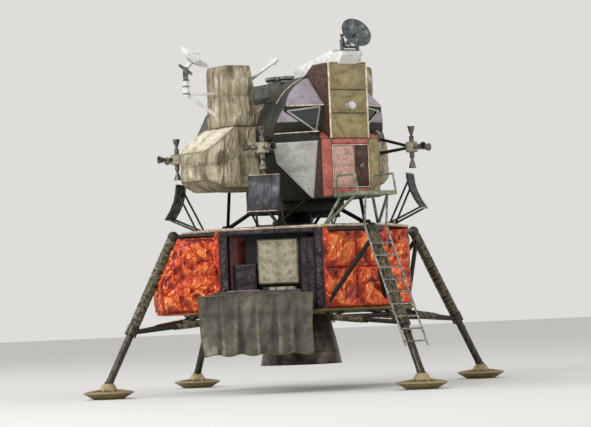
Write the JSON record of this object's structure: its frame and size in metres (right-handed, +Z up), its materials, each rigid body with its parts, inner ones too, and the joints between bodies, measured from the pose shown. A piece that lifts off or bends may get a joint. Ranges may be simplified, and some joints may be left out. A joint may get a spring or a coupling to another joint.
{
  "type": "two-stage crewed lunar lander",
  "caption": "Crewed lunar lander on its legs: film-covered octagonal descent stage, cabin stage above, ladder, hatches and steerable dishes.",
  "frame": {"origin": "on the ground under the middle of the vehicle, midway between opposite footpads", "axes": "+Z up, -Y forward to the ladder, porch and forward hatch, +X to the crew's left"},
  "size_m": [9.4238, 9.4238, 6.9851],
  "materials": {
    "amber_film": "crinkled metallised film",
    "black_foil": "matt black foil",
    "dark_foil": "film-wrapped tube",
    "bare_aluminium": "anodised",
    "black_panel": "matt dark panel",
    "tan_panel": "matt tan panel",
    "window_glass": "clear",
    "silver_panel": "matt bare panel",
    "nozzle_metal": "heat-tinted",
    "white_cloth": "woven glass cloth",
    "grey_blanket": "layered blanket",
    "white_paint": "matt white"
  },
  "bodies": {
    "vehicle": {"end_bays": "amber_film", "tray_corner": "black_foil", "door_corner": "amber_film", "deck": "black_foil", "base_shield": "amber_film", "primary_struts": "dark_foil", "footpads": "amber_film", "side_struts": "dark_foil", "leg_trusses": "dark_foil", "leg_blanket": "amber_film", "ladder": "bare_aluminium", "porch": "bare_aluminium", "cabin_barrel": "black_panel", "front_face": "tan_panel", "window_panes": "window_glass", "cabin_floor": "bare_aluminium", "midsection": "black_panel", "roof_fairing": "silver_panel", "docking_tunnel": "silver_panel", "tank_bays": "tan_panel", "aft_bay": "black_panel", "gas_spheres": "amber_film", "ascent_struts": "bare_aluminium", "ascent_engine": "nozzle_metal", "thruster_quads": "nozzle_metal", "plume_deflectors": "black_foil", "deflector_struts": "bare_aluminium", "bay_packages": "grey_blanket", "descent_engine_mount": "nozzle_metal", "radar_pedestal": "silver_panel", "antenna_forks": "white_paint", "steerable_mast": "white_paint", "whip_antennas": "white_paint", "tracking_light": "white_paint"},
    "forward_hatch": {"forward_hatch": "silver_panel"},
    "overhead_hatch": {"top_hatch": "silver_panel"},
    "tray": {"equipment_tray": "bare_aluminium", "tray_packages": "white_cloth", "tray_drape": "grey_blanket"},
    "bay_door": {"bay_door": "amber_film"},
    "gimbal_ring": {"gimbal_ring": "bare_aluminium"},
    "descent_bell": {"descent_bell": "nozzle_metal"},
    "landing_radar": {"landing_radar": "bare_aluminium"},
    "radar_yoke": {"radar_yoke": "white_paint"},
    "radar_dish": {"radar_dish": "white_paint"},
    "steerable_yoke": {"steerable_yoke": "white_paint"},
    "steerable_dish": {"steerable_dish": "white_paint"}
  },
  "joints": [
    {"name": "forward_hatch_hinge", "type": "hinge", "parent": "vehicle", "child": "forward_hatch", "pos_m": [-0.4705, -2.02, 4.2185], "axis": [0, 0, 1], "range_deg": [0, 85]},
    {"name": "overhead_hatch_hinge", "type": "hinge", "parent": "vehicle", "child": "overhead_hatch", "pos_m": [0, 0.469, 5.5767], "axis": [1, 0, 0], "range_deg": [0, 75]},
    {"name": "tray_hinge", "type": "hinge", "parent": "vehicle", "child": "tray", "pos_m": [-1.47792, -1.47792, 1.575], "axis": [0.7071, -0.7071, 0], "range_deg": [-78, 22]},
    {"name": "bay_door_hinge", "type": "hinge", "parent": "vehicle", "child": "bay_door", "pos_m": [1.45388, 1.45388, 2.964], "axis": [0.7071, -0.7071, 0], "range_deg": [0, 100]},
    {"name": "engine_pitch", "type": "hinge", "parent": "vehicle", "child": "gimbal_ring", "pos_m": [0, 0, 2.47], "axis": [0, 1, 0], "range_deg": [-6, 6]},
    {"name": "engine_roll", "type": "hinge", "parent": "gimbal_ring", "child": "descent_bell", "pos_m": [0, 0, 2.47], "axis": [1, 0, 0], "range_deg": [-6, 6]},
    {"name": "landing_radar_tilt", "type": "hinge", "parent": "vehicle", "child": "landing_radar", "pos_m": [1.08, 1.08, 1.382], "axis": [1, 0, 0], "range_deg": [0, 24]},
    {"name": "radar_shaft", "type": "hinge", "parent": "vehicle", "child": "radar_yoke", "pos_m": [0, -2.23, 6.575], "axis": [1, 0, 0], "range_deg": [-62, 28]},
    {"name": "radar_trunnion", "type": "hinge", "parent": "radar_yoke", "child": "radar_dish", "pos_m": [0, -2.23, 6.575], "axis": [0, 0.4695, 0.8829], "range_deg": [-50, 50]},
    {"name": "steerable_pitch", "type": "hinge", "parent": "vehicle", "child": "steerable_yoke", "pos_m": [-2.3, 0.06, 6.23], "axis": [0.515, 0.8572, 0], "range_deg": [-68, 42]},
    {"name": "steerable_yaw", "type": "hinge", "parent": "steerable_yoke", "child": "steerable_dish", "pos_m": [-2.3, 0.06, 6.23], "axis": [-0.6755, 0.4059, 0.6157], "range_deg": [-50, 50]}
  ]
}
